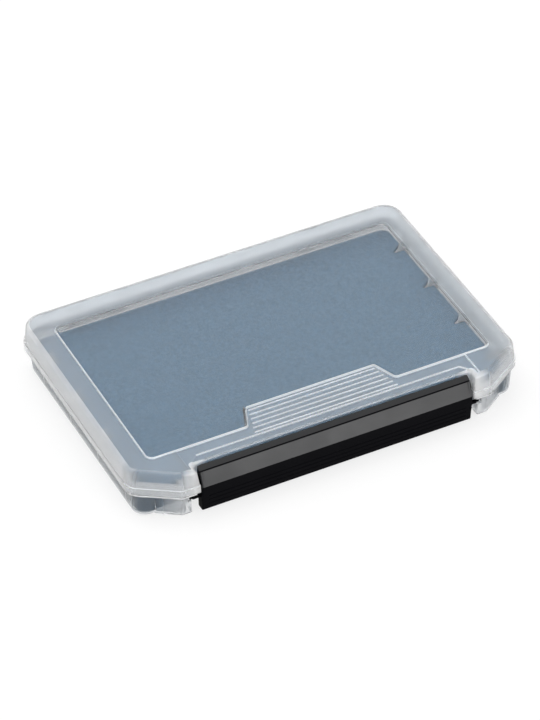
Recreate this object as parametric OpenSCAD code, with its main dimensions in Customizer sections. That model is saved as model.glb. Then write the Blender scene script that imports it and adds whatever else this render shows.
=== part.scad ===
// Slim clamshell case for flies, with a foam sheet, two rear hinges and one wide rocker latch.
// Millimetres, +Z up. The origin is under the middle of the closed case, on the surface it lies on.
// The latch is at -Y, the hinges are at +Y.

/* [Case] */
// Length of the lid over its rim
case_length = 205; // [180:1:240]
// Depth of the lid, from the tips of its front wings to its back wall
lid_depth = 142.7; // [130:0.1:165]
// Height of the closed case
case_height = 28; // [26:0.5:36]
// How far the lid's lower edge lies below the hinge axis, which is at half the case's height
parting_drop = 0.1; // [0:0.1:0.5]
// Wall thickness of tray and lid
wall = 1.3; // [1:0.1:1.6]
// Thickness of the tray's floor
floor_thickness = 1.4; // [1:0.1:2]
// Thickness of the lid's top
lid_top_thickness = 1.4; // [1:0.1:2]

/* [Plan] */
// Radius of the lid's back corners
back_corner_radius = 11; // [6:0.5:16]
// Radius of the lid's side corners in front
side_corner_radius = 8; // [4:0.5:12]
// Distance from the middle to where a wing's flat front ends
wing_flat_x = 81; // [78:0.5:86]
// How far the wing's slanted face runs back
wing_slant_depth = 14.3; // [10:0.1:18]

/* [Lid] */
// Radius of the lid's rounded top edge
lid_edge_radius = 2; // [1:0.1:2.6]
// Radius of the corners of the bay that the latch lies in
bay_corner_radius = 0.5; // [0.3:0.1:2.5]
// How far the lid's walls lean in from rim to top edge
lid_draft = 0.8; // [0.4:0.1:1.2]
// Height of the thicker band round the lid's rim
rim_band_height = 3.9; // [2:0.1:6]
// How far that band stands out
rim_band_step = 0.5; // [0.2:0.1:0.8]
// Length of the raised window
window_length = 179.4; // [160:0.2:184]
// Distance from the wing tips to the window's front edge
window_front = 17.6; // [16:0.1:22]
// Distance from the lid's back to the window's back edge
window_back = 15.8; // [12:0.1:22]
// Height of the window above its frame
window_rise = 0.8; // [0.4:0.1:1]
// Corner radius of the window
window_radius = 3.5; // [1:0.5:8]
// Depth of the grip recess in the window's front edge
grip_depth = 12.7; // [8:0.1:16]
// Length of the grip recess at its back
grip_back_length = 67.2; // [40:0.2:90]
// Length of the grip recess at its front
grip_front_length = 77.2; // [44:0.2:100]
// Number of grip ribs
grip_ribs = 6; // [3:1:8]
// Spacing of the grip ribs
grip_pitch = 3.1; // [2:0.1:4]
// Width of a grip rib
grip_rib_width = 0.7; // [0.4:0.1:1]
// How far a grip rib stops short of the recess's slanted ends
grip_rib_inset = 0.7; // [0.4:0.1:2]
// Height of a grip rib
grip_rib_height = 0.35; // [0.2:0.05:0.5]
// How far the middle of the front edge lies below the frame
apron_drop = 0.35; // [0.1:0.05:0.5]
// Half length of that lower apron
apron_half = 75.6; // [74:0.2:78]
// How far the step for the latch's lip lies below the apron
lip_step_drop = 0.45; // [0.2:0.05:0.5]
// Depth of the step for the latch's lip, from its line to the lid's front wall
lip_step_depth = 4.5; // [3:0.1:6]

/* [Tray] */
// Gap between the tray's rim and the lid's wall
rim_gap = 0.6; // [0.4:0.05:0.9]
// How far the tray's rim reaches up inside the lid
rim_overlap = 5.6; // [3:0.1:7]
// How far the tray's foot lies inside the lid's rim
tray_inset = 3.1; // [2.6:0.1:4]
// How far the tray's walls lean out from foot to shelf
tray_draft = 0.8; // [0.4:0.1:1]
// Radius of the tray's rounded lower edge
foot_radius = 1.8; // [1:0.1:2.4]
// Distance from the wing tips back to the tray's front wall
tray_front = 11; // [9.5:0.1:13]
// Corner radius of the tray
tray_corner_radius = 8; // [4:0.5:10]
// Number of stiffening gussets on each short wall
gusset_count = 4; // [2:1:6]
// Spacing of the gussets
gusset_pitch = 31.5; // [20:0.5:34]
// Shift of the gusset row from the middle, towards the back
gusset_shift = -1; // [-4:0.5:4]
// Thickness of a gusset
gusset_thickness = 1.2; // [0.8:0.1:1.6]
// How far a gusset reaches in at the floor
gusset_reach = 7.5; // [6:0.5:12]
// How far a gusset reaches in at its top
gusset_top_reach = 5; // [3:0.5:7]

/* [Latch] */
// Length of the latch
latch_length = 141.2; // [120:0.2:143]
// Gap between the latch and each ear
ear_gap = 4.2; // [2:0.1:5]
// Height of the latch's pivot above the table
pivot_height = 8.6; // [8:0.1:9.4]
// Distance from the wing tips back to the pivot
pivot_setback = 4.3; // [4:0.1:5]
// Diameter of the moulded pivot pins
pivot_diameter = 2.6; // [2:0.1:3]
// Clearance of a pivot pin in its ear, on the radius
pivot_clearance = 0.06; // [0.03:0.01:0.1]
// How far a pivot pin reaches into its ear
pivot_engagement = 2; // [1.4:0.1:3]
// Thickness of the latch's shell
latch_wall = 1.6; // [1.2:0.1:2]
// Gap between the closed latch and the lid's front wall
latch_gap = 0.5; // [0.3:0.05:0.8]
// Distance from the wing tips back to the lid's front wall behind the latch
latch_recess = 6.9; // [6.5:0.1:8]
// Height of the latch's lower edge above the table
latch_foot = 0.8; // [0.6:0.1:1.5]
// Height of the latch's ridge above its lower edge
ridge_height = 15.2; // [12:0.1:17]

/* [Hinges] */
// How far the hinge knuckles stand out behind the lid
knuckle_overhang = 2.3; // [2.1:0.1:3]
// Outer radius of a hinge knuckle
knuckle_radius = 1.9; // [1.7:0.1:2]
// Diameter of the steel hinge pins
pin_diameter = 1.6; // [1.2:0.1:1.8]
// Clearance of a pin in its knuckles, on the radius
pin_clearance = 0.05; // [0.02:0.01:0.08]
// Distance from the lid's end to the middle of each hinge
hinge_inset = 40.5; // [30:0.5:60]
// Length of the lid's knuckle
lid_knuckle_length = 14; // [10:0.5:24]
// Length of each of the tray's knuckles
tray_knuckle_length = 8; // [5:0.5:12]
// Gap between neighbouring knuckles
knuckle_gap = 0.4; // [0.3:0.05:0.8]

/* [Foam] */
// Thickness of the foam sheet
foam_thickness = 11.6; // [6:0.2:12.4]
// Gap between the foam and the tray's short walls
foam_side_gap = 2; // [0.5:0.1:3]
// Gap between the foam and the tray's long walls
foam_end_gap = 0.4; // [0.3:0.1:1.5]
// Gap between the foam and each gusset
foam_slit_gap = 0.3; // [0.2:0.1:0.8]
// How much wider each of the foam's notches is at its mouth, towards the back
foam_notch_flare = 3.4; // [0:0.1:6]
// Corner radius of the foam sheet
foam_radius = 5; // [2:0.5:8]

/* [Hidden] */
$fn = 48;
arc_step = 11.25;
cut = 1;
tiny = 0.01;
clear_plastic = [0.84, 0.87, 0.9, 0.55];
black_plastic = [0.08, 0.08, 0.1];
foam_blue = [0.4, 0.49, 0.57];
steel = [0.7, 0.71, 0.73];

// Case levels and walls, from the sizes above
case_depth = lid_depth + knuckle_overhang;
front_y = -case_depth / 2;
back_y = front_y + lid_depth;
side_x = case_length / 2;
hinge_z = case_height / 2;
parting_height = hinge_z - parting_drop;
rim_height = parting_height + rim_overlap;
frame_z = case_height - window_rise;
lid_underside = frame_z - lid_top_thickness;
lid_wall_y = front_y + latch_recess;
lean_height = frame_z - lid_edge_radius - parting_height;
apron_z = frame_z - apron_drop;
lip_step_z = apron_z - lip_step_drop;

// Window and grip recess
window_x = window_length / 2;
window_front_y = front_y + window_front;
window_back_y = back_y - window_back;
grip_back_y = window_front_y + grip_depth;
grip_slope = 0.264;
first_rib = 1.6;

// Shelf that carries the lid's edge, and the rim above it
seat_gap = 0.3;
ledge_inset = 1;
shelf_thickness = 1.2;
shelf_top = parting_height - seat_gap;
shelf_bottom = shelf_top - shelf_thickness;
ledge_setback = 25;
ledge_back_y = back_y - ledge_setback;

// Tray
tray_x = side_x - tray_inset + tray_draft;
tray_front_y = front_y + tray_front;
tray_back_y = back_y - tray_inset + tray_draft;
inner_foot_radius = max(0.4, foot_radius - wall);
tray_inner_x = tray_x - tray_draft - wall;

// Latch, its pivot and the recess that its lower edge swings into
latch_half = latch_length / 2;
bay_x = latch_half + 2;
latch_back_y = lid_wall_y - latch_gap;
latch_top = case_height - 2.5;
pivot_y = front_y + pivot_setback;
pivot_radius = pivot_diameter / 2;
swing_radius = norm([latch_back_y - pivot_y, pivot_height - latch_foot]);
recess_y = pivot_y + swing_radius + 0.7;
ear_x = latch_half + ear_gap;
ear_bore_depth = pivot_engagement + 0.3;
cheek = ear_bore_depth + 0.6;
web_thickness = 1.2;
groove_count = 3;
groove_pitch = 2.6;
groove_depth = 0.35;
groove_end = 3;

// Hinges
hinge_x = side_x - hinge_inset;
hinge_y = case_depth / 2 - knuckle_radius;
hinge_span = lid_knuckle_length + 2 * (knuckle_gap + tray_knuckle_length);
tray_knuckle_shift = (lid_knuckle_length + tray_knuckle_length) / 2 + knuckle_gap;

// Foam
foam_x = tray_inner_x - foam_side_gap;
foam_front_y = tray_front_y + wall + foam_end_gap;
foam_back_y = tray_back_y - tray_draft - wall - foam_end_gap;
foam_notch_x = ear_x + cheek + foam_end_gap;
foam_notch_y = recess_y + wall + foam_end_gap;

// Direction helpers for closed outlines that run anticlockwise
function unit(v) = v / norm(v);
function inward(a, b) = let (d = unit(b - a)) [-d[1], d[0]];
function lean(a, p, b) = let (n = inward(a, p), m = inward(p, b)) (n + m) / (1 + n * m);
function turn(a, p, b) = let (n = inward(a, p), m = inward(p, b)) sign(n[0] * m[1] - n[1] * m[0]);
function before(path, i) = path[(i + len(path) - 1) % len(path)];
function after(path, i) = path[(i + 1) % len(path)];

// An outline moved in by the distance d
function moved_in(path, d) =
    [for (i = [0:len(path) - 1]) path[i] + d * lean(before(path, i), path[i], after(path, i))];

// The arc that rounds corner p between its neighbours a and b
function arc(a, p, b, r) =
    let (
        n = inward(a, p),
        m = inward(p, b),
        side = turn(a, p, b),
        centre = p + side * r * lean(a, p, b),
        start = atan2(-side * n[1], -side * n[0]),
        sweep = side * acos(min(1, max(-1, n * m))),
        steps = max(1, ceil(abs(sweep) / arc_step))
    )
    [for (k = [0:steps]) centre + r * [cos(start + sweep * k / steps), sin(start + sweep * k / steps)]];

// An outline of sharp corners, moved in by d and rounded with one radius a corner
function rounded(path, radii, d = 0) =
    let (q = moved_in(path, d))
    [for (i = [0:len(q) - 1])
        let (a = before(q, i), b = after(q, i), r = max(0.2, radii[i] - turn(a, q[i], b) * d))
        each arc(a, q[i], b, r)];

// The right half of an outline or of its radii, completed with the mirrored left half
function both_halves(half) = concat(half, [for (i = [len(half) - 1:-1:0]) [-half[i][0], half[i][1]]]);
function both_radii(half) = concat(half, [for (i = [len(half) - 1:-1:0]) half[i]]);

// The case's outline at the lid's rim, without the bay for the latch
shell_corners = both_halves([[wing_flat_x, front_y], [side_x, front_y + wing_slant_depth], [side_x, back_y]]);
shell_radii = both_radii([5, side_corner_radius, back_corner_radius]);

// The tray's outline at its shelf, without its ears
tray_corners = both_halves([[tray_x, tray_front_y - tray_draft], [tray_x, tray_back_y]]);
tray_radii = both_radii([tray_corner_radius, tray_corner_radius + 1]);

// The right ear that holds the latch's pivot
ear_corners = [[ear_x, front_y + 3.6], [ear_x + 5, front_y + 3.6], [ear_x + 16, front_y + 10.9],
               [ear_x + 16, tray_front_y + 4], [ear_x, tray_front_y + 4]];
ear_radii = [1, 3, 1, 0.5, 0.5];

// The raised window, with the grip recess in its front edge
window_corners = both_halves([[grip_back_length / 2, grip_back_y], [grip_front_length / 2, window_front_y],
                              [window_x, window_front_y], [window_x, window_back_y]]);
window_radii = both_radii([1.5, 2.5, window_radius, window_radius]);

// The lower apron in front of the window, with the grip recess, and the step for the latch's lip
apron_corners = both_halves([[apron_half, front_y - cut], [apron_half, window_front_y + cut],
                             [grip_front_length / 2 + cut, window_front_y + cut],
                             [grip_back_length / 2 + cut, grip_back_y + cut]]);
lip_step_corners = both_halves([[bay_x, front_y - cut], [bay_x, lid_wall_y],
                                [bay_x - 3.5, lid_wall_y + lip_step_depth]]);

// The latch's profile, from its back lower corner round over the lip, facet and ridge
latch_profile = [[latch_back_y, latch_foot], [latch_back_y, latch_top], [front_y + 3.1, latch_top - 1.7],
                 [front_y, latch_foot + ridge_height], [front_y + 1.9, latch_foot]];
latch_radii = [0.5, 0.5, 0.4, 0.8, 0.8];
latch_hollow = [[latch_back_y + 4, latch_foot], [latch_back_y + 4, latch_top], latch_profile[2],
                latch_profile[3], latch_profile[4]];

foam_corners = both_halves([[foam_notch_x, foam_notch_y], [foam_notch_x, foam_front_y], [foam_x, foam_front_y],
                            [foam_x, foam_back_y]]);
foam_radii = both_radii([1, 1, foam_radius, foam_radius]);
notch_half = gusset_thickness / 2 + foam_slit_gap;
notch_tip_x = tray_inner_x - gusset_reach - foam_slit_gap;
foam_notch = [[notch_tip_x, -notch_half], [foam_x + cut, -notch_half], [foam_x + cut, notch_half + foam_notch_flare],
              [foam_x, notch_half + foam_notch_flare], [notch_tip_x, notch_half]];

module slab(path, z0, z1) {
    translate([0, 0, z0]) linear_extrude(z1 - z0) polygon(path);
}

module block(low, high) {
    translate(low) cube(high - low);
}

module bar_x(length, radius, y, z, x = 0) {
    translate([x, y, z]) rotate([0, 90, 0]) cylinder(length, radius, radius, center = true);
}

module prism_x(length, profile) {
    rotate([90, 0, 90]) linear_extrude(length, center = true) polygon(profile);
}

module both_sides() {
    children();
    mirror([1, 0, 0]) children();
}

// The bay in the lid's front edge where the latch lies, larger by grow on every side
module latch_bay(grow, z0, z1) {
    corners = both_halves([[bay_x + grow, front_y - cut], [bay_x + grow, lid_wall_y + grow]]);
    slab(rounded(corners, [for (i = [0:3]) bay_corner_radius]), z0, z1);
}

// The lid's form, moved in by inset: walls that lean in by slope, then a top edge of radius r
module dome(inset, slope, z0, top, r) {
    hull() {
        slab(rounded(shell_corners, shell_radii, inset), z0, z0 + tiny);
        for (a = [0:22.5:90])
            slab(rounded(shell_corners, shell_radii, inset + slope + r * (1 - cos(a))),
                 top - r + r * sin(a) - tiny, top - r + r * sin(a));
    }
}

// The tray's rim, moved in by inset from the lid's inner face and parallel to it
module rim_form(inset, z0, z1) {
    rise = (rim_band_step + lid_draft) / lean_height;
    hull() {
        slab(rounded(shell_corners, shell_radii, wall + inset), z0, z0 + tiny);
        slab(rounded(shell_corners, shell_radii, wall + inset + rise * (z1 - parting_height)), z1 - tiny, z1);
    }
}

module base_tray() {
    color(clear_plastic) {
        difference() {
            union() {
                tray_form();
                both_sides() ear();
                rim();
                for (x = [-hinge_x, hinge_x], s = [-1, 1]) tray_knuckle(x + s * tray_knuckle_shift);
            }
            block([-ear_x, front_y - cut, -cut], [ear_x, recess_y, shelf_bottom]);
            difference() {
                tray_hollow();
                block([-ear_x - cheek, front_y, 0], [ear_x + cheek, recess_y + wall, shelf_top]);
            }
            both_sides() ear_pocket();
            both_sides() bar_x(2 * ear_bore_depth, pivot_radius + pivot_clearance, pivot_y, pivot_height, ear_x);
            for (x = [-hinge_x, hinge_x])
                bar_x(hinge_span + 2 * cut, pin_diameter / 2 + pin_clearance, hinge_y, hinge_z, x);
        }
        both_sides() gussets();
    }
}

// The tray's outside up to its shelf, with a rounded lower edge
module tray_form() {
    hull() {
        for (a = [0:30:90])
            slab(rounded(tray_corners, tray_radii, tray_draft + foot_radius * (1 - sin(a))),
                 foot_radius * (1 - cos(a)), foot_radius * (1 - cos(a)) + tiny);
        slab(rounded(tray_corners, tray_radii), shelf_top - tiny, shelf_top);
    }
}

module tray_hollow() {
    hull() {
        for (a = [0:45:90])
            slab(rounded(tray_corners, tray_radii, tray_draft + wall + inner_foot_radius * (1 - sin(a))),
                 floor_thickness + inner_foot_radius * (1 - cos(a)),
                 floor_thickness + inner_foot_radius * (1 - cos(a)) + tiny);
        slab(rounded(tray_corners, tray_radii, wall), shelf_top, shelf_top + tiny);
    }
}

// The shelf that widens the tray under the lid's edge, the rim inside the lid, and the lid's seat
module rim() {
    difference() {
        union() {
            rim_form(rim_gap, shelf_bottom, rim_height);
            intersection() {
                slab(rounded(shell_corners, shell_radii, ledge_inset), shelf_bottom, shelf_top);
                block([-side_x, front_y, 0], [side_x, ledge_back_y, case_height]);
            }
        }
        difference() {
            rim_form(rim_gap + wall, shelf_top, rim_height + cut);
            latch_bay(2 * wall + rim_gap, 0, case_height);
        }
        latch_bay(wall + rim_gap, shelf_top, case_height);
        latch_bay(wall / 2, 0, case_height);
        difference() {
            tray_hollow();
            latch_bay(2 * wall + rim_gap, 0, case_height);
        }
    }
}

module ear() {
    slab(rounded(ear_corners, ear_radii, foot_radius / 3), 0, foot_radius / 3);
    slab(rounded(ear_corners, ear_radii), foot_radius / 3, shelf_top);
}

module ear_pocket() {
    difference() {
        slab(rounded(ear_corners, ear_radii, wall), floor_thickness, shelf_top + tiny);
        block([0, front_y, 0], [ear_x + cheek, 0, case_height]);
        block([0, tray_front_y + wall, 0], [side_x, 0, floor_thickness + tiny]);
    }
}

// Stiffening gussets on the right short wall
module gussets() {
    profile = [[tray_inner_x + wall / 2, floor_thickness / 2], [tray_inner_x - gusset_reach, floor_thickness / 2],
               [tray_inner_x - gusset_reach, floor_thickness],
               [tray_inner_x + tray_draft - gusset_top_reach, rim_height - cut],
               [tray_inner_x + tray_draft + wall / 2, rim_height - cut]];
    for (i = [0:gusset_count - 1])
        translate([0, gusset_y(i), 0]) rotate([90, 0, 0])
            linear_extrude(gusset_thickness, center = true) polygon(profile);
}

function gusset_y(i) = gusset_shift + (i - (gusset_count - 1) / 2) * gusset_pitch;

// One of the tray's knuckles, with the web that carries it
module tray_knuckle(x) {
    half = tray_knuckle_length / 2;
    bar_x(tray_knuckle_length, knuckle_radius, hinge_y, hinge_z, x);
    block([x - half, tray_back_y - tray_draft, hinge_z - knuckle_radius], [x + half, hinge_y, shelf_top]);
}

module lid() {
    color(clear_plastic) difference() {
        union() {
            difference() {
                union() {
                    dome(rim_band_step, lid_draft, parting_height, frame_z, lid_edge_radius);
                    slab(rounded(shell_corners, shell_radii), parting_height, parting_height + rim_band_height);
                }
                latch_bay(0, 0, case_height);
                slab(apron_corners, apron_z, case_height);
                slab(lip_step_corners, lip_step_z, case_height);
                difference() {
                    dome(wall, rim_band_step + lid_draft, parting_height - cut, lid_underside,
                         max(0.4, lid_edge_radius - wall));
                    latch_bay(wall, 0, case_height);
                    slab(apron_corners, lid_underside - apron_drop - lip_step_drop, case_height);
                }
            }
            window();
            grip();
            for (x = [-hinge_x, hinge_x]) bar_x(lid_knuckle_length, knuckle_radius, hinge_y, hinge_z, x);
        }
        slab(rounded(window_corners, window_radii, 1.2), lid_underside - cut, lid_underside + window_rise);
        for (x = [-hinge_x, hinge_x]) {
            bar_x(hinge_span, pin_diameter / 2 + pin_clearance, hinge_y, hinge_z, x);
            for (s = [-1, 1])
                bar_x(tray_knuckle_length + 2 * knuckle_gap, knuckle_radius + 0.5, hinge_y, hinge_z,
                      x + s * tray_knuckle_shift);
        }
    }
}

module window() {
    slab(rounded(window_corners, window_radii), frame_z - lid_top_thickness / 2, case_height);
}

// Fine ribs in the recess in front of the window, where the thumb holds the lid
module grip() {
    for (i = [0:grip_ribs - 1]) {
        y = grip_back_y - first_rib - i * grip_pitch;
        half = grip_back_length / 2 - grip_rib_inset + grip_slope * (grip_back_y - y);
        block([-half, y - grip_rib_width / 2, apron_z - cut / 2],
              [half, y + grip_rib_width / 2, apron_z + grip_rib_height]);
    }
}

// A wide black rocker: its lip lies in front of the lid's wall, and pressing its lower edge tips it open
module latch() {
    color(black_plastic) {
        difference() {
            prism_x(latch_length, rounded(latch_profile, latch_radii));
            difference() {
                prism_x(latch_length - 2 * latch_wall, moved_in(latch_hollow, latch_wall));
                for (x = [-1:1]) web(x * latch_length / 4);
            }
            grooves();
        }
        both_sides() bar_x(latch_wall + ear_gap + pivot_engagement, pivot_radius, pivot_y, pivot_height,
                           (latch_half - latch_wall + ear_x + pivot_engagement) / 2);
    }
}

module web(x) {
    block([x - web_thickness / 2, front_y, 0], [x + web_thickness / 2, latch_back_y, case_height]);
}

// Grip grooves along the latch's lower face
module grooves() {
    foot = latch_profile[4];
    ridge = latch_profile[3];
    along = unit(ridge - foot);
    for (i = [1:groove_count]) {
        p = foot + along * (i * groove_pitch + 1.2);
        translate([0, p[0], p[1]]) rotate([atan2(along[1], along[0]) - 90, 0, 0])
            cube([latch_length - 2 * groove_end, 2 * groove_depth, 0.6], center = true);
    }
}

module foam_sheet() {
    color(foam_blue) difference() {
        slab(rounded(foam_corners, foam_radii), floor_thickness, floor_thickness + foam_thickness);
        both_sides() for (i = [0:gusset_count - 1])
            translate([0, gusset_y(i), 0]) slab(foam_notch, 0, case_height);
    }
}

module hinge_pin(x) {
    color(steel) bar_x(hinge_span, pin_diameter / 2, hinge_y, hinge_z, x);
}

module hinge_pin_left() {
    hinge_pin(-hinge_x);
}

module hinge_pin_right() {
    hinge_pin(hinge_x);
}

base_tray();
lid();
latch();
foam_sheet();
hinge_pin_left();
hinge_pin_right();
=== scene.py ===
import bmesh
import bpy
import numpy as np
from mathutils import Matrix, Vector
from mathutils.geometry import delaunay_2d_cdt


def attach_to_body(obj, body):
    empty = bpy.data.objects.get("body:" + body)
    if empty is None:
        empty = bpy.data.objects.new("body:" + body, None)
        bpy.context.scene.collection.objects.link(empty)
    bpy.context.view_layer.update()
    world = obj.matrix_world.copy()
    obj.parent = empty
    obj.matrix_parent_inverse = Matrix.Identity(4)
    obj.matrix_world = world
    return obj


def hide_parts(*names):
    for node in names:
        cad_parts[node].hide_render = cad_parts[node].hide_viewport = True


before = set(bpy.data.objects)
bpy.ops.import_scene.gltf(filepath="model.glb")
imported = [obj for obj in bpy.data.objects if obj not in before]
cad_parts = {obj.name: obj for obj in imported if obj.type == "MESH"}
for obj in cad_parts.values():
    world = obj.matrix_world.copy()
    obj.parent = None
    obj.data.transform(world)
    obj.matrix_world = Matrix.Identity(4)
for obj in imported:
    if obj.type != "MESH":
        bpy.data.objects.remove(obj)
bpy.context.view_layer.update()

# Lid
# One moulding of clear polypropylene: milky walls with a rounded top edge, a finely frosted frame, and a
# polished window that stands up from it. It hangs on two steel pins at the back.
MM = 0.001
CASE_LENGTH, CASE_HEIGHT = 205.0, 28.0
FRONT, BACK = -72.5, 70.2
PARTING = 13.9
WALL = 1.3
FRAME_Z = 27.2
LID_TOP = 1.4
EDGE_RADIUS, EDGE_STEPS = 2.0, 9
BAND_HEIGHT, BAND_STEP, LID_LEAN = 3.9, 0.5, 0.8
BAY_X, LID_WALL_Y = 72.6, -65.6
APRON_X, APRON_DROP = 75.6, 0.35
LIP_DEPTH, LIP_DROP = 4.5, 0.45
GRIP_RIBS, GRIP_PITCH, GRIP_WIDTH, GRIP_HEIGHT = 6, 3.1, 0.8, 0.38
GRIP_TOP_Y, GRIP_FIRST_Y, GRIP_HALF, GRIP_FLARE, GRIP_FADE = -42.2, -43.8, 32.9, 0.264, 0.6
STEP_WIDTH = 0.55
UNDER_WINDOW, UNDER_APRON, UNDER_WIDTH = 1.0, -0.6, 1.2
HINGE_X, HINGE_Y, HINGE_Z, KNUCKLE_R = 62.0, 70.6, 14.0, 1.9
LID_KNUCKLE, TRAY_KNUCKLE, KNUCKLE_STEP, KNUCKLE_GAP, BORE_R = 14.0, 8.0, 11.4, 0.4, 0.85
KNUCKLE_ROOM, KNUCKLE_EDGE = 0.5, 0.25
ROD_SIDES, KNUCKLE_SIDES = 48, 40
LEAST_R = 0.05
SAME_POINT = 2e-6


def halves(points):
    """The right half of an outline, completed with its mirror image, anticlockwise."""
    p = np.array(points, float)
    return np.vstack([p, p[::-1] * [-1, 1]])


def twice(radii):
    """One radius for each corner of a mirrored outline."""
    return np.array([*radii, *radii[::-1]], float)


BAY_FOOT_X = BAY_X - BAND_STEP - LID_LEAN
SHELL = halves([[BAY_FOOT_X, LID_WALL_Y], [BAY_FOOT_X, FRONT], [81, FRONT], [CASE_LENGTH / 2, FRONT + 14.3],
                [CASE_LENGTH / 2, BACK]])
SHELL_R = twice([2, 0.9, 5, 8, 11])
WINDOW = halves([[33.6, GRIP_TOP_Y], [38.6, -54.9], [89.7, -54.9], [89.7, 54.4]])
WINDOW_R = twice([1.2, 2.2, 3.5, 3.5])
APRON = halves([[APRON_X, FRONT - 4], [APRON_X, -52], [41, -52], [36, -39]])
APRON_R = twice([1, 0.4, 1, 1])
LIP = halves([[76, FRONT - 4], [73.6, LID_WALL_Y - 1.3], [69.1, LID_WALL_Y + LIP_DEPTH]])
LIP_R = twice([1, 1, 1.2])


def rounded(corners, radii, inset=0.0, steps=8):
    """A closed outline: each corner moves in along its mitre, then turns into an arc of steps + 1 points.
    A corner that turns left loses radius as it moves in, and one that turns right gains it."""
    ahead = np.roll(corners, -1, 0) - corners
    ahead /= np.linalg.norm(ahead, axis=1, keepdims=True)
    leaving = np.stack([-ahead[:, 1], ahead[:, 0]], 1)
    arriving = np.roll(leaving, 1, 0)
    both = (arriving * leaving).sum(1)
    side = np.sign(arriving[:, 0] * leaving[:, 1] - arriving[:, 1] * leaving[:, 0])
    radius = np.maximum(radii - side * inset, LEAST_R)
    centre = corners + (arriving + leaving) / (1 + both)[:, None] * (inset + side * radius)[:, None]
    start = np.arctan2(-side * arriving[:, 1], -side * arriving[:, 0])
    sweep = side * np.arccos(np.clip(both, -1, 1))
    angle = start[:, None] + sweep[:, None] * np.linspace(0, 1, steps + 1)
    points = centre[:, None] + radius[:, None, None] * np.stack([np.cos(angle), np.sin(angle)], -1)
    return points.reshape(-1, 2)


def shell_ring(lean, thickness=0.0):
    """The lid's outline where its walls have leaned in by lean, seen thickness deep in the plastic. Behind
    the latch the wall stands upright, so only the rounding of its top edge moves it, at half the rate."""
    corners, radii = SHELL.copy(), SHELL_R.copy()
    corners[[0, -1], 1] -= lean - 0.5 * max(0, lean - BAND_STEP - LID_LEAN)
    radii[[0, -1]] -= lean
    return rounded(corners, radii, lean + thickness)


def segments(outline):
    """Start points and vectors of a closed outline's sides."""
    return outline, np.roll(outline, -1, 0) - outline


def inside(points, outline):
    """Even-odd rule: a point is inside if a ray along +X crosses the outline an odd number of times."""
    a, d = segments(outline)
    b = a + d
    x, y = points[:, :1], points[:, 1:]
    crosses = (a[:, 1] > y) != (b[:, 1] > y)
    with np.errstate(divide="ignore", invalid="ignore"):
        at = a[:, 0] + (y - a[:, 1]) * d[:, 0] / d[:, 1]
    return (crosses & (x < at)).sum(1) % 2 == 1


def depth(points, outline):
    """Distance to the nearest side of the outline, positive inside and negative outside."""
    a, d = segments(outline)
    along = ((points[:, None] - a) * d).sum(-1) / np.maximum((d * d).sum(-1), 1e-12)
    near = a + np.clip(along, 0, 1)[..., None] * d
    return np.linalg.norm(points[:, None] - near, axis=-1).min(1) * np.where(inside(points, outline), 1, -1)


def ease(t):
    """Smooth step from 0 to 1 as t goes from 0 to 1."""
    t = np.clip(t, 0, 1)
    return t * t * (3 - 2 * t)


def step_at(points, outline, width):
    """0 outside the outline and 1 inside it, eased over width across its line."""
    return ease(depth(points, outline) / width + 0.5)


def crossings(outline, lines):
    """Where other outlines cross this one, as side number plus fraction along that side."""
    a, d = segments(outline)
    found = []
    for line in lines:
        c, e = segments(line)
        w = c[None] - a[:, None]
        cross = d[:, None, 0] * e[None, :, 1] - d[:, None, 1] * e[None, :, 0]
        with np.errstate(divide="ignore", invalid="ignore"):
            t = (w[..., 0] * e[None, :, 1] - w[..., 1] * e[None, :, 0]) / cross
            u = (w[..., 0] * d[:, None, 1] - w[..., 1] * d[:, None, 0]) / cross
        i, j = np.nonzero((abs(cross) > 1e-9) & (t >= 0) & (t < 1) & (u >= 0) & (u < 1))
        found.append(i + t[i, j])
    return np.concatenate(found)


def refined(ring, cuts):
    """The ring with one more point at each cut, a place given as side number plus fraction."""
    at = np.sort(np.concatenate([np.arange(len(ring)), cuts]))
    i = np.floor(at).astype(int)
    f = (at - i)[:, None]
    return ring[i] * (1 - f) + ring[(i + 1) % len(ring)] * f


def lifted(flat, z):
    """Points of a plane outline at height z, one height or one for each point."""
    return np.column_stack([flat, np.broadcast_to(z, len(flat))])


def band(rings):
    """Quads between neighbouring rings of equal count: a profile carried along a path."""
    grid = np.array(rings)
    m, n = grid.shape[:2]
    i = np.arange(m - 1)[:, None] * n
    j = np.arange(n)[None]
    k = (j + 1) % n
    quads = np.stack([i + j, i + k, i + n + k, i + n + j], -1).reshape(-1, 4)
    return grid.reshape(-1, 3), quads, np.zeros(len(quads), int)


def level(z):
    """A height function that is z everywhere."""
    return lambda points: np.full(len(points), z)


def sheet(outer, lines, height, slot_of=lambda middle: 0, hole=None):
    """A triangulated sheet inside the outer outline, with every line kept as an edge, raised to the height
    that height(points) gives. A hole's inside stays open."""
    loops = [outer, *lines]
    flat = np.vstack(loops)
    starts = np.cumsum([0] + [len(q) for q in loops])
    edges = [(s + i, s + (i + 1) % len(q)) for s, q in zip(starts, loops) for i in range(len(q))]
    only_inside, same = 1, 1e-5
    out = delaunay_2d_cdt([Vector(p) for p in flat], edges, [list(range(len(outer)))], only_inside, same)
    points = np.array([v[:] for v in out[0]])
    triangles = np.array([f[:3] for f in out[2]])
    middle = points[triangles].mean(1)
    keep = inside(middle, outer)
    if hole is not None:
        keep &= ~inside(middle, hole)
    triangles, middle = triangles[keep], middle[keep]
    slots = np.broadcast_to(slot_of(middle), len(triangles))
    return lifted(points, height(points)), triangles, slots


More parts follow.
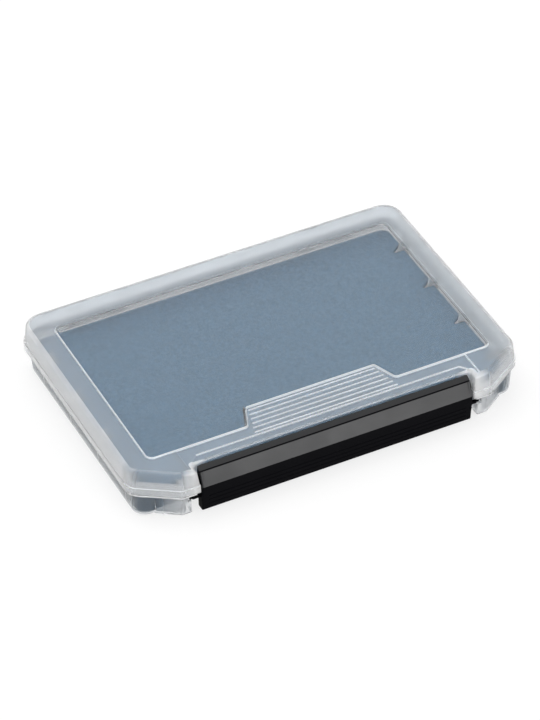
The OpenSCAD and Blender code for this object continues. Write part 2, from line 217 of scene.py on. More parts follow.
def mesh_of(name, parts, materials, smooth=True):
    """One object from several (points in mm, faces, slots), merged, with its faces turned outwards."""
    mesh = bpy.data.meshes.new(name)
    starts = np.cumsum([0] + [len(p[0]) for p in parts])
    faces = [tuple(f) for s, p in zip(starts, parts) for f in (p[1] + s).tolist()]
    mesh.from_pydata((np.vstack([p[0] for p in parts]) * MM).tolist(), [], faces)
    mesh.polygons.foreach_set("material_index", np.concatenate([p[2] for p in parts]).astype(np.int32))
    for material in materials:
        mesh.materials.append(material)
    work = bmesh.new()
    work.from_mesh(mesh)
    bmesh.ops.remove_doubles(work, verts=work.verts, dist=SAME_POINT)
    bmesh.ops.dissolve_degenerate(work, edges=work.edges, dist=SAME_POINT)
    bmesh.ops.delete(work, geom=[v for v in work.verts if not v.link_faces], context="VERTS")
    bmesh.ops.recalc_face_normals(work, faces=work.faces)
    work.to_mesh(mesh)
    work.free()
    if smooth:
        mesh.shade_smooth()
    else:
        mesh.shade_flat()
    obj = bpy.data.objects.new(name, mesh)
    bpy.context.collection.objects.link(obj)
    return obj


def crisp(obj, angle=40):
    """Normals weighted by face area, so that flats stay flat beside their rounded edges."""
    obj.data.set_sharp_from_angle(angle=np.radians(angle))
    weighted = obj.modifiers.new("flat faces lead", "WEIGHTED_NORMAL")
    weighted.keep_sharp = True
    weighted.weight = 80


def circle(sides, x, y, z, radius):
    """A ring of points round the X axis: y and z plus radius times the cosine and sine of the angle."""
    turn = np.linspace(0, 2 * np.pi, sides, endpoint=False)
    return np.column_stack([np.full(sides, x), y + radius * np.cos(turn), z + radius * np.sin(turn)])


def rod(name, length, radius, x, y, z, bevel):
    """A closed round bar along X with its ends cut back by bevel."""
    ends = [(-length / 2, 0.0), (-length / 2, radius - bevel), (-length / 2 + bevel, radius),
            (length / 2 - bevel, radius), (length / 2, radius - bevel), (length / 2, 0.0)]
    return mesh_of(name, [band([circle(ROD_SIDES, x + a, y, z, r) for a, r in ends])], [])


def tube(name, x, length):
    """A hinge knuckle: a bar along X at the hinge, with the pin's bore through it."""
    end, edge_r = length / 2, KNUCKLE_R - KNUCKLE_EDGE
    corners = [(-end, BORE_R), (-end, edge_r), (KNUCKLE_EDGE - end, KNUCKLE_R),
               (end - KNUCKLE_EDGE, KNUCKLE_R), (end, edge_r), (end, BORE_R), (-end, BORE_R)]
    rings = [circle(KNUCKLE_SIDES, x + a, HINGE_Y, HINGE_Z, r) for a, r in corners]
    return mesh_of(name, [band(rings)], [])


def carve(obj, cutters):
    """Takes the cutters away from obj, and deletes them."""
    for cutter in cutters:
        tool = obj.modifiers.new("carve", "BOOLEAN")
        tool.object = cutter
        tool.operation = "DIFFERENCE"
        tool.solver = "EXACT"
        tool.use_hole_tolerant = True
    mesh = bpy.data.meshes.new_from_object(obj.evaluated_get(bpy.context.evaluated_depsgraph_get()))
    obj.modifiers.clear()
    obj.data = mesh
    for cutter in cutters:
        bpy.data.objects.remove(cutter)


def attach(obj, others):
    """Adds other meshes, which reach into obj, to its own."""
    work = bmesh.new()
    for each in (obj, *others):
        work.from_mesh(each.data)
    work.to_mesh(obj.data)
    work.free()
    for each in others:
        bpy.data.objects.remove(each)


def rgb(code):
    """An sRGB hex colour as linear red, green, blue and alpha."""
    s = np.array([int(code[i:i + 2], 16) / 255 for i in (1, 3, 5)])
    return (*np.where(s <= 0.04045, s / 12.92, ((s + 0.055) / 1.055) ** 2.4), 1.0)


def add(tree, kind, inputs=(), **settings):
    """Adds a node, sets its properties, and fills its inputs with values or links them to sockets."""
    node = tree.nodes.new(kind)
    for key, value in settings.items():
        setattr(node, key, value)
    for key, value in dict(inputs).items():
        if isinstance(value, bpy.types.NodeSocket):
            tree.links.new(value, node.inputs[key])
        else:
            node.inputs[key].default_value = value
    return node


def material(name):
    """A new material with an empty node tree."""
    made = bpy.data.materials.new(name)
    made.use_nodes = True
    made.node_tree.nodes.clear()
    return made, made.node_tree


def zone(tree, place, *ranges, strength=1.0):
    """A mask: strength inside a box and 0 outside it, the product of a rise and a fall along each axis. A
    range is an axis, its two ends and their softness in mm; X counts outwards from the middle."""
    axes = add(tree, "ShaderNodeSeparateXYZ", {0: place}).outputs
    mask = strength
    for axis, low, high, soft in ranges:
        value = axes[axis]
        if axis == "X":
            value = add(tree, "ShaderNodeMath", {0: value}, operation="ABSOLUTE").outputs[0]
        for dark, light in ((low - soft, low), (high + soft, high)):
            slope = add(tree, "ShaderNodeMapRange", {
                "Value": value, "From Min": dark * MM, "From Max": light * MM})
            product = add(tree, "ShaderNodeMath", {0: mask, 1: slope.outputs[0]}, operation="MULTIPLY")
            mask = product.outputs[0]
    return mask


# The lid's plastic, moulded in a polished and partly spark-eroded tool. It bends light like most plastics,
# and what it doesn't let straight through wanders a few millimetres inside it and comes out milky.
PLASTIC_IOR, SCATTER = 1.49, 3 * MM
MILKY_CLEARNESS = 0.5
GRAIN_DEPTH = 0.2 * MM


def plastic(name, colour, roughness, clearness, grain, grain_bump, milky=None):
    """Moulded polypropylene, as clear as clearness says, down to MILKY_CLEARNESS where the milky mask is 1.
    Its bump is the mould's grain, of the given width in mm."""
    made, tree = material(name)
    place = add(tree, "ShaderNodeTexCoord").outputs["Object"]
    noise = add(tree, "ShaderNodeTexNoise", {
        "Vector": place, "Scale": 1 / (grain * MM), "Detail": 2.0, "Roughness": 0.6})
    bump = add(tree, "ShaderNodeBump", {
        "Height": noise.outputs["Fac"], "Strength": grain_bump, "Distance": GRAIN_DEPTH})
    shader = add(tree, "ShaderNodeBsdfPrincipled", {
        "Base Color": rgb(colour), "Roughness": roughness, "IOR": PLASTIC_IOR,
        "Transmission Weight": clearness, "Subsurface Weight": 1.0, "Subsurface Radius": (1, 1, 1),
        "Subsurface Scale": SCATTER, "Normal": bump.outputs["Normal"]})
    if milky:
        cleared = add(tree, "ShaderNodeMapRange", {
            "Value": milky(tree, place), "To Min": clearness, "To Max": MILKY_CLEARNESS})
        tree.links.new(cleared.outputs[0], shader.inputs["Transmission Weight"])
    add(tree, "ShaderNodeOutputMaterial", {"Surface": shader.outputs["BSDF"]})
    return made


def thick_lid(tree, place):
    """The lid's thick places: the sides of the bay fully, and its own sides and back about half as much.
    The front wall is thin and stays clear."""
    cheek = zone(tree, place, ("X", BAY_FOOT_X - 0.6, 74, 6), ("Y", -90, -65, 3))
    walls = zone(tree, place, ("Y", -50, 90, 9), strength=0.55)
    return add(tree, "ShaderNodeMath", {0: cheek, 1: walls}, operation="MAXIMUM").outputs[0]


# The walls let light in and glow like thin ice, with a soft gloss along their rounded edges.
lid_wall = plastic("polypropylene_milky_wall", "#FAFCFE", 0.24, 0.9, 0.8, 0.015, thick_lid)
# The frame is frosted inside, so the foam shows through it a little paler than through the window.
lid_frame = plastic("polypropylene_frosted_frame", "#F1F7FD", 0.1, 0.87, 0.6, 0.02)
# The window is polished on both sides: it shows the foam as it is, with sharp reflections.
lid_window = plastic("polypropylene_polished_window", "#FCFDFE", 0.05, 0.99, 3.0, 0.02)
# Narrow steps and ribs get a whiter, milkier plastic: a painted highlight along their length, standing in
# for where the real steps catch the light, that reads as white lines.
lid_step_highlight = plastic("polypropylene_step_edge_painted_highlight", "#F2F8FF", 0.35, 0.4, 0.8, 0.02)
FRAME_SLOT, WINDOW_SLOT, HIGHLIGHT_SLOT = 1, 2, 3
LIP_HIGHLIGHT_FROM_X, RIB_FOOT = -68, 0.02


def apron_drop(points):
    """How far the lid's top lies below its frame: the apron, and the lower step for the latch's lip."""
    return (APRON_DROP * step_at(points, rounded(APRON, APRON_R), STEP_WIDTH)
            + LIP_DROP * step_at(points, rounded(LIP, LIP_R), STEP_WIDTH))


def grip_row():
    """Place and half length of each grip rib."""
    y = GRIP_FIRST_Y - GRIP_PITCH * np.arange(GRIP_RIBS)
    return y, GRIP_HALF + GRIP_FLARE * (GRIP_TOP_Y - y)


def grip_height(points):
    """Rounded ribs: a parabola over the width of each, eased to nothing at its ends."""
    y, half = grip_row()
    across = 1 - (abs(points[:, 1:] - y) / (GRIP_WIDTH / 2)) ** 2
    return (GRIP_HEIGHT * np.clip(across, 0, 1) * ease((half - abs(points[:, :1])) / GRIP_FADE)).sum(1)


def lid_top(points):
    """Height of the lid's outer top: the frame less its apron, plus ribs, eased up to the window."""
    low = FRAME_Z - apron_drop(points) + grip_height(points)
    return low + (CASE_HEIGHT - low) * step_at(points, rounded(WINDOW, WINDOW_R), STEP_WIDTH)


def under_drop(points):
    """How far the lid's inner top lies below its frame under the apron."""
    return (APRON_DROP + LIP_DROP) * step_at(points, rounded(APRON, APRON_R, UNDER_APRON), UNDER_WIDTH)


def lid_under(points):
    """Height of the lid's inner top, which follows the outer one at the thickness of the plastic."""
    low = FRAME_Z - LID_TOP - under_drop(points)
    return low + (CASE_HEIGHT - LID_TOP - low) * step_at(
        points, rounded(WINDOW, WINDOW_R, UNDER_WINDOW), UNDER_WIDTH)


def rib_loops():
    """Outlines of the grip ribs at their foot, flank and crest."""
    y, half = grip_row()
    loops = []
    for share in (1.0, 0.75, 0.5, 0.25, 0.0):
        w = GRIP_WIDTH / 2 * share
        for yi, hi in zip(y, half):
            across = [-hi, -hi + GRIP_FADE / 2, -hi + GRIP_FADE, 0, hi - GRIP_FADE, hi - GRIP_FADE / 2, hi]
            if share:
                loops.append(np.array([[x, yi - w] for x in across] + [[x, yi + w] for x in across[::-1]]))
            else:
                loops.append(np.array([[x, yi] for x in across]))
    return loops


def on_top(points):
    """Material of a triangle of the lid's top: window, painted highlight or frame. Step edges and ribs get
    the painted highlight. The lip's line gets it except at its left end, and the apron's only in the right
    half, the side that faces the light."""
    d = depth(points, rounded(WINDOW, WINDOW_R))
    lip = abs(depth(points, rounded(LIP, LIP_R)))
    side = abs(depth(points, rounded(APRON, APRON_R)))
    half = STEP_WIDTH / 2
    x = points[:, 0]
    step = abs(d) < half
    step |= (lip < half) & (d < 0) & (x > LIP_HIGHLIGHT_FROM_X)
    # Painted highlight: the apron's step is whiter only in the right half, the side that faces the light.
    step |= (side < half) & (d < -half) & (x > 0)
    rib = (d <= 0) & (grip_height(points) > RIB_FOOT)
    return np.where(step | rib, HIGHLIGHT_SLOT, np.where(d > 0, WINDOW_SLOT, FRAME_SLOT))


def dropped(ring, z):
    """A ring of the outer wall, lowered with the top where the apron runs out over the edge."""
    share = np.clip((z - PARTING - BAND_HEIGHT) / (FRAME_Z - PARTING - BAND_HEIGHT), 0, 1)
    return lifted(ring, z - share * apron_drop(ring))


def lid_profile():
    """Inset and height along the outer wall: band, step, leaning wall, then a quarter round to the top."""
    band_top = PARTING + BAND_HEIGHT
    top = FRAME_Z - EDGE_RADIUS
    turn = np.radians(np.linspace(0, 90, EDGE_STEPS))
    return [(0.15, PARTING), (0.0, PARTING + 0.15), (0.0, band_top - 0.25), (0.12, band_top - 0.05),
            (BAND_STEP - 0.08, band_top + 0.1), (BAND_STEP + 0.02, band_top + 0.35),
            *zip(BAND_STEP + LID_LEAN + EDGE_RADIUS * (1 - np.cos(turn)), top + EDGE_RADIUS * np.sin(turn))]


offsets = STEP_WIDTH * np.array([-0.5, -0.25, 0.0, 0.25, 0.5])
relief = [rounded(WINDOW, WINDOW_R, d) for d in offsets]
relief += [rounded(APRON, APRON_R, d) for d in offsets[::2]]
relief += [rounded(LIP, LIP_R, d) for d in offsets]
under_offsets = UNDER_WIDTH * np.array([-0.5, 0.0, 0.5])
under_relief = [rounded(WINDOW, WINDOW_R, UNDER_WINDOW + d) for d in under_offsets]
under_relief += [rounded(APRON, APRON_R, UNDER_APRON + d) for d in under_offsets]
profile = lid_profile()
top_ring = shell_ring(profile[-1][0])
cuts = crossings(top_ring, relief)
outer_rings = [dropped(refined(shell_ring(d), cuts), z) for d, z in profile]
INNER_TOP, INNER_EDGE = FRAME_Z - LID_TOP, 3
inner_profile = [(-0.15, PARTING), (0.0, PARTING + 0.15), (0.9, INNER_TOP - INNER_EDGE),
                 (1.1, INNER_TOP - 1), (1.5, INNER_TOP - 0.3), (2.2, INNER_TOP)]
inner_ring = shell_ring(inner_profile[-1][0], WALL)
inner_cuts = crossings(inner_ring, under_relief)
inner_rings = []
for d, z in inner_profile:
    ring = refined(shell_ring(d, WALL), inner_cuts)
    share = np.clip((z - INNER_TOP) / INNER_EDGE + 1, 0, 1)
    inner_rings.append(lifted(ring, z - share * under_drop(ring)))
wall_points, wall_faces, wall_slots = band(outer_rings)
wall_slots = wall_slots.reshape(len(outer_rings) - 1, -1)
# Painted highlight: the band's lower edge and its step take the whiter plastic along the front, where the
# light catches them.
HIGHLIGHT_ROWS, HIGHLIGHT_FRONT = [0, 3, 4], -50
wall_slots[np.ix_(HIGHLIGHT_ROWS, outer_rings[0][:, 1] < HIGHLIGHT_FRONT)] = HIGHLIGHT_SLOT
lid_parts = [
    (wall_points, wall_faces, wall_slots.ravel()),
    sheet(outer_rings[-1][:, :2], relief + rib_loops(), lid_top, on_top),
    sheet(outer_rings[0][:, :2], [inner_rings[0][:, :2]], level(PARTING), hole=inner_rings[0][:, :2]),
    band(inner_rings),
    sheet(inner_rings[-1][:, :2], under_relief, lid_under, on_top),
]
lid = mesh_of("lid_shell", lid_parts, [lid_wall, lid_frame, lid_window, lid_step_highlight])
carve(lid, [rod("room", TRAY_KNUCKLE + 2 * KNUCKLE_GAP, KNUCKLE_R + KNUCKLE_ROOM,
                side * HINGE_X + end * KNUCKLE_STEP, HINGE_Y, HINGE_Z, 0.05)
            for side in (-1, 1) for end in (-1, 1)])
attach(lid, [tube("knuckle", side * HINGE_X, LID_KNUCKLE) for side in (-1, 1)])
crisp(lid)
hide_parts("lid")
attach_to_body(lid, "lid")


# Latch
# A rocker of black ABS, as wide as the bay in the lid: a lip over the lid's edge, a satin facet under it,
# and a textured lower face with three grooves that a finger presses in. Moulded pins carry it in the ears.
LATCH_HALF, LATCH_WALL = 70.6, 1.6
LATCH_CORNERS = np.array([[-66.1, 0.8], [-66.1, 25.5], [-69.4, 23.8], [-72.5, 16.0], [-70.6, 0.8]])
LATCH_R = np.array([0.5, 0.5, 0.4, 0.8, 0.8])
GROOVES, GROOVE_PITCH, GROOVE_FIRST = 3, 2.6, 3.8
GROOVE_WIDTH, GROOVE_DEPTH, GROOVE_END = 0.75, 0.32, 3.0
FACET_STEP, FACET_END = 0.22, 1.2
SATIN_LIT_FACET, SATIN_LIT_LIP = (0.4, 8.2), (0.5, 3.4)
ON_FACE, NEAR_FACE = 0.3, 0.4
END_R, END_ZONE, PLAIN_RINGS, RING_STEP, PROFILE_STEP = 0.55, 5, 12, 0.15, 0.12
HOLLOW = np.array([[-60.5, 2.4], [-60.5, 23.2], [-67.0, 23.2], [-70.6, 15.8], [-69.2, 2.4]])
HOLLOW_R, HALF_WEB = 0.6, 0.6
PIVOT_Y, PIVOT_Z, PIVOT_R, PIVOT_ROOT = -68.2, 8.6, 1.0, 0.8
PIVOT_TIP_R, PIVOT_REACH, EAR_X, EAR_GAP = 0.6, 75.9, 74.8, 0.3


def cap(ring):
    """A ring closed by triangles to its middle."""
    n = len(ring)
    i = np.arange(n)
    faces = np.stack([i, (i + 1) % n, np.full(n, n)], 1)
    return np.vstack([ring, ring.mean(0)]), faces, np.zeros(n, int)


def along_x(profile, x):
    """A closed (y, z) profile placed at x."""
    return np.column_stack([np.full(len(profile), x), profile])


def prism(name, profile, low, high):
    """A closed solid with one (y, z) profile from low to high along X."""
    rings = [along_x(profile, low), along_x(profile, high)]
    return mesh_of(name, [band(rings), cap(rings[0]), cap(rings[1])], [])


def fine(loop, step):
    """A closed loop with its long sides divided so that no side is longer than step."""
    a, d = segments(loop)
    counts = np.maximum(1, np.ceil(np.linalg.norm(d, axis=1) / step)).astype(int)
    shares = [np.linspace(0, 1, n, endpoint=False)[:, None] for n in counts]
    return np.vstack([p + v * share for p, v, share in zip(a, d, shares)])


def along_side(points, start, end):
    """Distance of points along the line from start to end, and how far they lie from that line."""
    d = (end - start) / np.linalg.norm(end - start)
    return (points - start) @ d, abs((points - start) @ np.array([-d[1], d[0]]))


def latch_relief(profile, x):
    """How far the latch's surface lies in from its plain profile at x: a parabola across each groove, and a
    step under the lip that runs out down the facet. Both fade out before the latch's ends."""
    up, off = along_side(profile, LATCH_CORNERS[4], LATCH_CORNERS[3])
    row = GROOVE_FIRST + GROOVE_PITCH * np.arange(GROOVES)
    groove = np.clip(1 - (2 * (up[:, None] - row) / GROOVE_WIDTH) ** 2, 0, 1).sum(1) * (off < ON_FACE)
    down, off = along_side(profile, LATCH_CORNERS[2], LATCH_CORNERS[3])
    length = np.linalg.norm(LATCH_CORNERS[3] - LATCH_CORNERS[2])
    step = ease((down - 0.35) / 0.2) * np.clip(1 - down / length, 0, 1) * (off < ON_FACE)
    return (GROOVE_DEPTH * groove * ease((LATCH_HALF - GROOVE_END - abs(x)) / 0.6)
            + FACET_STEP * step * ease((LATCH_HALF - FACET_END - abs(x)) / 0.4))


def abs_plastic(name, colour, roughness, gloss, grain, grain_bump):
    """Black ABS from a textured mould: a fine grain, its width in mm, that breaks up the sheen, and faint
    wear that changes its roughness from place to place."""
    made, tree = material(name)
    place = add(tree, "ShaderNodeTexCoord").outputs["Object"]
    noise = add(tree, "ShaderNodeTexNoise", {
        "Vector": place, "Scale": 1 / (grain * MM), "Detail": 3.0, "Roughness": 0.6})
    wear = add(tree, "ShaderNodeTexNoise", {"Vector": place, "Scale": 60.0, "Detail": 3.0})
    sheen = add(tree, "ShaderNodeMapRange", {
        "Value": wear.outputs["Fac"], "From Min": 0.3, "From Max": 0.7,
        "To Min": roughness - 0.03, "To Max": roughness + 0.04})
    bump = add(tree, "ShaderNodeBump", {
        "Height": noise.outputs["Fac"], "Strength": grain_bump, "Distance": 0.1 * MM})
    shader = add(tree, "ShaderNodeBsdfPrincipled", {
        "Base Color": rgb(colour), "Roughness": sheen.outputs["Result"], "Specular IOR Level": gloss,
        "Normal": bump.outputs["Normal"]})
    add(tree, "ShaderNodeOutputMaterial", {"Surface": shader.outputs["BSDF"]})
    return made


# The grip and the ends are deeply grained, and painted shade besides: a darker black with almost no gloss,
# as they face away from the light.
latch_black_shaded = abs_plastic("abs_black_textured_painted_shade", "#050508", 0.6, 0.03, 0.35, 0.5)
# The facet and the lip are finely grained, and painted light besides: a lighter black with a grey sheen, as
# they face the light.
latch_satin_lit = abs_plastic("abs_black_satin_facet_painted_light", "#0F1013", 0.38, 0.5, 0.5, 0.25)
base_profile = fine(rounded(LATCH_CORNERS, LATCH_R, 0, 6), PROFILE_STEP)
normal = np.roll(base_profile, -1, 0) - np.roll(base_profile, 1, 0)
normal = np.stack([-normal[:, 1], normal[:, 0]], 1) / np.linalg.norm(normal, axis=1, keepdims=True)
turn = np.radians(np.linspace(0, 90, 7))
plain = np.linspace(0, LATCH_HALF - END_ZONE, PLAIN_RINGS)
close = np.arange(LATCH_HALF - END_ZONE + 0.2, LATCH_HALF - END_R, RING_STEP)
ends = [(LATCH_HALF - END_R + END_R * np.sin(a), END_R * (1 - np.cos(a))) for a in turn]
half_rings = [(x, 0.0) for x in (*plain, *close)] + ends
rings = [along_x(base_profile + normal * (inset + latch_relief(base_profile, x))[:, None], side * x)
         for side in (-1, 1) for x, inset in (half_rings[::-1] if side < 0 else half_rings[1:])]
# The facet and the lip take the lighter copy of the black: painted light where they face the lamps.
down, off = along_side(base_profile, LATCH_CORNERS[2], LATCH_CORNERS[3])
satin_and_lit = (off < NEAR_FACE) & (down > SATIN_LIT_FACET[0]) & (down < SATIN_LIT_FACET[1])
down, off = along_side(base_profile, LATCH_CORNERS[1], LATCH_CORNERS[2])
satin_and_lit |= (off < ON_FACE) & (down > SATIN_LIT_LIP[0]) & (down < SATIN_LIT_LIP[1])
body_points, body_faces, _ = band(rings)
body = (body_points, body_faces, np.tile(satin_and_lit, len(rings) - 1).astype(int))
latch = mesh_of("latch_rocker", [body, cap(rings[0]), cap(rings[-1])], [latch_black_shaded, latch_satin_lit])
hollow = rounded(HOLLOW, np.full(len(HOLLOW), HOLLOW_R), 0, 4)
webs = np.array([-LATCH_HALF + LATCH_WALL, -LATCH_HALF / 2, 0, LATCH_HALF / 2, LATCH_HALF - LATCH_WALL])
half_web = HALF_WEB * np.array([0, 1, 1, 1, 0])
carve(latch, [prism("hollow", hollow, low, high)
              for low, high in zip((webs + half_web)[:-1], (webs - half_web)[1:])])
root = LATCH_HALF - PIVOT_ROOT
attach(latch, [rod("pivot_pin", end - root, r, side * (end + root) / 2, PIVOT_Y, PIVOT_Z, 0.2)
               for side in (-1, 1) for end, r in ((EAR_X - EAR_GAP, PIVOT_R), (PIVOT_REACH, PIVOT_TIP_R))])
crisp(latch, 50)
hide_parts("latch")
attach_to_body(latch, "latch")


# Foam
# A sheet of closed-cell EVA in slate blue, die-cut with notches that slip over the tray's gussets. Flies
# are hooked into it.
FOAM_Z = (1.4, 13.0)
GUSSET_MIDDLE, GUSSET_PITCH, GUSSET_COUNT = -1, 31.5, 4
GUSSETS = GUSSET_MIDDLE + GUSSET_PITCH * (np.arange(GUSSET_COUNT) - (GUSSET_COUNT - 1) / 2)
NOTCH_TIP, FOAM_X = 90.3, 96.1
FOAM_EDGE, FOAM_SPREAD, SPREAD_OVER = 0.7, 1.2, 4
NOTCH = [[FOAM_X, -0.9], [NOTCH_TIP, -0.65], [NOTCH_TIP, -0.1], [FOAM_X, 4.4]]
notches = [[x, y + g] for g in GUSSETS for x, y in NOTCH]
FOAM = halves([[78.1, -57.72], [78.1, -59.8], [FOAM_X, -59.8], *notches, [FOAM_X, 65.4]])
FOAM_R = twice([1.0, 1.0, 5.0, *[0.7, 0.2, 0.2, 1.4] * GUSSET_COUNT, 5.0])
CELL, CRUMB = 0.55 * MM, 1.5 * MM
# Cut cells give the eye a matt, crumbly blue with no gloss, a little lighter from crumb to crumb.
foam_blue, tree = material("eva_foam_slate_blue")
place = add(tree, "ShaderNodeTexCoord").outputs["Object"]
cells = add(tree, "ShaderNodeTexVoronoi", {"Vector": place, "Scale": 1 / CELL, "Randomness": 1.0})
crumb = add(tree, "ShaderNodeTexNoise", {
    "Vector": place, "Scale": 1 / CRUMB, "Detail": 4.0, "Roughness": 0.7})
pitted = add(tree, "ShaderNodeMath", {
    0: cells.outputs["Distance"], 1: crumb.outputs["Fac"]}, operation="ADD")
tone = add(tree, "ShaderNodeMapRange", {
    "Value": crumb.outputs["Fac"], "From Min": 0.35, "From Max": 0.65})
colour = add(tree, "ShaderNodeMix", {
    "Factor": tone.outputs["Result"], "A": rgb("#53788F"), "B": rgb("#648CAC")}, data_type="RGBA")
bump = add(tree, "ShaderNodeBump", {
    "Height": pitted.outputs[0], "Strength": 0.5, "Distance": 0.2 * MM})
shader = add(tree, "ShaderNodeBsdfPrincipled", {
    "Base Color": colour.outputs["Result"], "Roughness": 0.85, "Specular IOR Level": 0.3,
    "Sheen Weight": 0.1, "Normal": bump.outputs["Normal"]})
add(tree, "ShaderNodeOutputMaterial", {"Surface": shader.outputs["BSDF"]})
turn = np.radians(np.linspace(0, 90, 6))
foam_profile = [(FOAM_EDGE, FOAM_Z[0])]
foam_profile += [(FOAM_EDGE * (1 - np.sin(a)), FOAM_Z[0] + FOAM_EDGE * (1 - np.cos(a))) for a in turn[1:]]
foam_profile += [(FOAM_EDGE * (1 - np.cos(a)), FOAM_Z[1] - FOAM_EDGE + FOAM_EDGE * np.sin(a)) for a in turn]
rings = [lifted(rounded(FOAM, FOAM_R, d), z) for d, z in foam_profile]
for ring in rings:
    low = 1 - (ring[:, 2] - FOAM_Z[0]) / (FOAM_Z[1] - FOAM_Z[0])
    near_wall = np.clip((abs(ring[:, 0]) - NOTCH_TIP - 1) / SPREAD_OVER, 0, 1)
    ring[:, 0] += np.sign(ring[:, 0]) * FOAM_SPREAD * low * near_wall
faces = [sheet(ring[:, :2], [], level(ring[0, 2])) for ring in (rings[0], rings[-1])]
foam = mesh_of("foam_sheet_soft", [band(rings), *faces], [foam_blue])
crisp(foam, 60)
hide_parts("foam_sheet")
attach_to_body(foam, "tray")


# Tray
# One moulding of the same polypropylene, clear in the walls and floor. The mould is frosted for the shelf
# and rim that the lid closes over and for the gussets that locate the foam.
TRAY_SHELF_Z = 12.3
# The walls give the eye the foam's blue and the white ground through a grey that is painted shade, and
# frost turns it white.
tray_plastic, tree = material("polypropylene_clear_tray")
place = add(tree, "ShaderNodeTexCoord").outputs["Object"]
gusset = zone(tree, place, ("X", 88, 98, 0.3), ("Y", GUSSETS[0] - 3, GUSSETS[-1] + 3, 0.3),
              ("Z", 1.2, TRAY_SHELF_Z, 0.2))
ear = zone(tree, place, ("X", 74, 76.5, 16), ("Y", -70, -65, 3), strength=0.45)
shelf = zone(tree, place, ("Z", TRAY_SHELF_Z, 28, 0.3), strength=0.85)
frosted = add(tree, "ShaderNodeMath", {0: gusset, 1: ear}, operation="MAXIMUM").outputs[0]
frosted = add(tree, "ShaderNodeMath", {0: frosted, 1: shelf}, operation="MAXIMUM").outputs[0]
clearness = add(tree, "ShaderNodeMapRange", {"Value": frosted, "To Min": 0.94, "To Max": 0.1})
haze = add(tree, "ShaderNodeMapRange", {"Value": frosted, "To Min": 0.14, "To Max": 0.35})
# Painted shade: the clear parts take a grey base that stands in for the shading seen through the walls. The
# frosted parts are white.
shade_and_frost_tint = add(tree, "ShaderNodeMix", {
    "Factor": frosted, "A": rgb("#BCC1C5"), "B": rgb("#FAFAFA")}, data_type="RGBA")
grain = add(tree, "ShaderNodeTexNoise", {
    "Vector": place, "Scale": 1 / (0.8 * MM), "Detail": 2.0, "Roughness": 0.6})
bump = add(tree, "ShaderNodeBump", {
    "Height": grain.outputs["Fac"], "Strength": 0.03, "Distance": GRAIN_DEPTH})
shader = add(tree, "ShaderNodeBsdfPrincipled", {
    "Base Color": shade_and_frost_tint.outputs["Result"], "Roughness": haze.outputs[0], "IOR": PLASTIC_IOR,
    "Specular IOR Level": 0.25, "Subsurface Weight": 1.0, "Subsurface Radius": (1, 1, 1),
    "Subsurface Scale": SCATTER, "Transmission Weight": clearness.outputs[0],
    "Normal": bump.outputs["Normal"]})
add(tree, "ShaderNodeOutputMaterial", {"Surface": shader.outputs["BSDF"]})
tray = bpy.data.objects["base_tray"]
for part_slot in tray.material_slots:
    part_slot.material = tray_plastic


# Gusset webs
# The gussets' wedge-shaped webs, moulded with the tray and spark-eroded on both sides. They fill the foam's
# notches.
WEB_Z = (1.4, 12.6)
WEB = np.array([[90.7, -0.55], [98.1, -0.7], [98.1, 4.7], [91.0, -0.15]])
WEB_R = np.array([0.15, 0.2, 0.2, 0.15])
# Frosted through and through: a soft pale V between the blue edges of the foam.
gusset_plastic = plastic("polypropylene_frosted_gusset", "#F6F5F4", 0.4, 0.2, 0.8, 0.05)
web_parts = []
for y in GUSSETS:
    for side in (-1, 1):
        ring = rounded(WEB, WEB_R, 0, 3) * [side, 1] + [0, y]
        foot, top = lifted(ring, WEB_Z[0]), lifted(ring, WEB_Z[1])
        web_parts += [band([foot, top]), cap(foot), cap(top)]
gussets = mesh_of("gusset_webs", web_parts, [gusset_plastic])
crisp(gussets)
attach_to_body(gussets, "tray")


# Hinge pins
# Cut lengths of drawn stainless wire, pressed into the tray's knuckles at the back. The lid's knuckles
# turn on them.
DRAW_MARK, MARK_STRETCH = 0.3 * MM, 20
# Bright metal with fine draw marks along it, which smear its highlights lengthwise.
wire, tree = material("stainless_wire_drawn")
place = add(tree, "ShaderNodeTexCoord").outputs["Object"]
stretched = add(tree, "ShaderNodeMapping", {"Vector": place, "Scale": (1 / MARK_STRETCH, 1.0, 1.0)})
marks = add(tree, "ShaderNodeTexNoise", {
    "Vector": stretched.outputs[0], "Scale": 1 / DRAW_MARK, "Detail": 2.0})
rough = add(tree, "ShaderNodeMapRange", {"Value": marks.outputs["Fac"], "To Min": 0.18, "To Max": 0.34})
bump = add(tree, "ShaderNodeBump", {
    "Height": marks.outputs["Fac"], "Strength": 0.2, "Distance": 0.05 * MM})
shader = add(tree, "ShaderNodeBsdfPrincipled", {
    "Base Color": rgb("#C4C5C6"), "Metallic": 1.0, "Roughness": rough.outputs[0],
    "Normal": bump.outputs["Normal"]})
add(tree, "ShaderNodeOutputMaterial", {"Surface": shader.outputs["BSDF"]})
for name in ("hinge_pin_left", "hinge_pin_right"):
    for part_slot in bpy.data.objects[name].material_slots:
        part_slot.material = wire


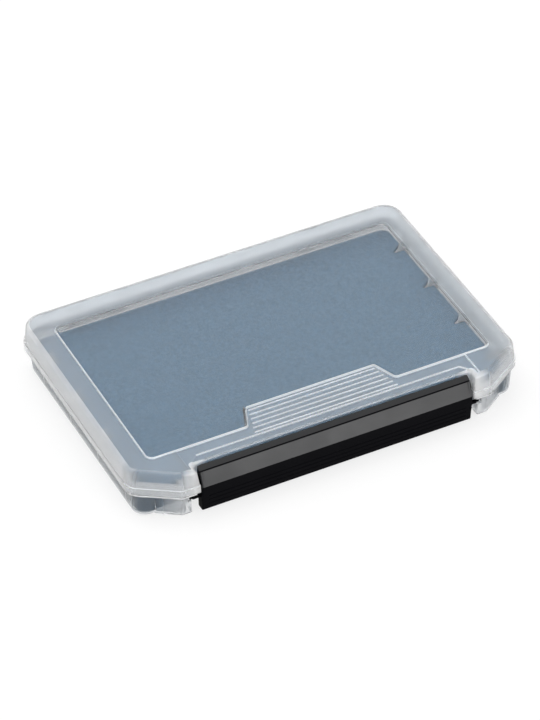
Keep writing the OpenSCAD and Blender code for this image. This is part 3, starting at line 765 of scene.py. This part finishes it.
# Camera, floor and light
# A pale sweep with a large soft box overhead, as for a cut-out on white; the long lens looks down on the
# case's front left corner.
FOCAL_PIXELS, AZIMUTH, ELEVATION, ROLL = 3985.83543, -25.10678, 39.53115, -1.69124
SHIFT_MM = np.array([0.91784, 9.72667, 1919.38913])
FRAME_LONG_SIDE, SENSOR_MM = 720, 36
az, el, roll = np.radians([AZIMUTH, ELEVATION, ROLL])
back = np.array([np.sin(az) * np.cos(el), -np.cos(az) * np.cos(el), np.sin(el)])
right = np.array([np.cos(az), np.sin(az), 0.0])
up = np.cross(back, right)
right, up = right * np.cos(roll) + up * np.sin(roll), up * np.cos(roll) - right * np.sin(roll)
place = -(np.stack([right, -up, -back]).T @ SHIFT_MM) * MM
camera_data = bpy.data.cameras.new("camera")
camera_data.lens = FOCAL_PIXELS * SENSOR_MM / FRAME_LONG_SIDE
camera_data.sensor_width = SENSOR_MM
camera_data.clip_end = 50
camera = bpy.data.objects.new("camera", camera_data)
camera.matrix_world = Matrix([[right[i], up[i], back[i], place[i]] for i in range(3)] + [[0, 0, 0, 1]])
bpy.context.collection.objects.link(camera)
bpy.context.scene.camera = camera

# The sweep looks evenly white to the camera, in reflections and through the plastic, and still takes a
# contact shadow: FLOOR_GLOW of it glows for those rays, and the rest is matt paint.
FLOOR_GLOW, FLOOR_REACH = 0.75, 6000.0
floor_paint, tree = material("white_sweep")
rays = add(tree, "ShaderNodeLightPath").outputs
seen = add(tree, "ShaderNodeMath", {
    0: rays["Is Camera Ray"], 1: rays["Is Glossy Ray"]}, operation="ADD")
seen = add(tree, "ShaderNodeMath", {
    0: seen.outputs[0], 1: rays["Is Transmission Ray"]}, operation="ADD", use_clamp=True)
share = add(tree, "ShaderNodeMath", {0: seen.outputs[0], 1: FLOOR_GLOW}, operation="MULTIPLY")
white = add(tree, "ShaderNodeEmission", {"Color": (1, 1, 1, 1), "Strength": 1.0})
matt = add(tree, "ShaderNodeBsdfDiffuse", {"Color": rgb("#F4F4F4")})
mixed = add(tree, "ShaderNodeMixShader", {0: share.outputs[0], 1: matt.outputs[0], 2: white.outputs[0]})
add(tree, "ShaderNodeOutputMaterial", {"Surface": mixed.outputs[0]})
floor_corners = np.array([[-1, -1, 0], [1, -1, 0], [1, 1, 0], [-1, 1, 0]]) * FLOOR_REACH
floor_part = (floor_corners, np.array([[0, 1, 2, 3]]), np.zeros(1, int))
floor = mesh_of("floor", [floor_part], [floor_paint], smooth=False)

# A white room all round, a shade under full white for anything but the camera.
ROOM_LIGHT = 0.98
world = bpy.data.worlds.new("studio")
bpy.context.scene.world = world
world.use_nodes = True
tree = world.node_tree
tree.nodes.clear()
rays = add(tree, "ShaderNodeLightPath").outputs
strength = add(tree, "ShaderNodeMapRange", {
    "Value": rays["Is Camera Ray"], "To Min": ROOM_LIGHT, "To Max": 1.0})
sky = add(tree, "ShaderNodeBackground", {"Color": (1, 1, 1, 1), "Strength": strength.outputs[0]})
add(tree, "ShaderNodeOutputWorld", {"Surface": sky.outputs[0]})


def lamp(name, place, aim, size, power):
    """A square soft box of the given size in metres and power in watts, at place and turned to face aim."""
    data = bpy.data.lights.new(name, "AREA")
    data.size = size
    data.energy = power
    obj = bpy.data.objects.new(name, data)
    turn = (Vector(place) - Vector(aim)).to_track_quat("Z", "Y").to_matrix().to_4x4()
    obj.matrix_world = Matrix.Translation(place) @ turn
    bpy.context.collection.objects.link(obj)


# The first whitens the top, the second lights the latch's facet, and the third brings out the back edges.
lamp("overhead", (-0.4, 0.5, 1.5), (0, 0, 0), 1.2, 9)
lamp("front", (0.55, -1.6, 0.25), (0, -0.07, 0.02), 0.7, 8)
lamp("behind", (0.5, 1.6, 0.25), (0, 0, 0.02), 0.9, 3)

bpy.context.scene.view_settings.view_transform = "Standard"
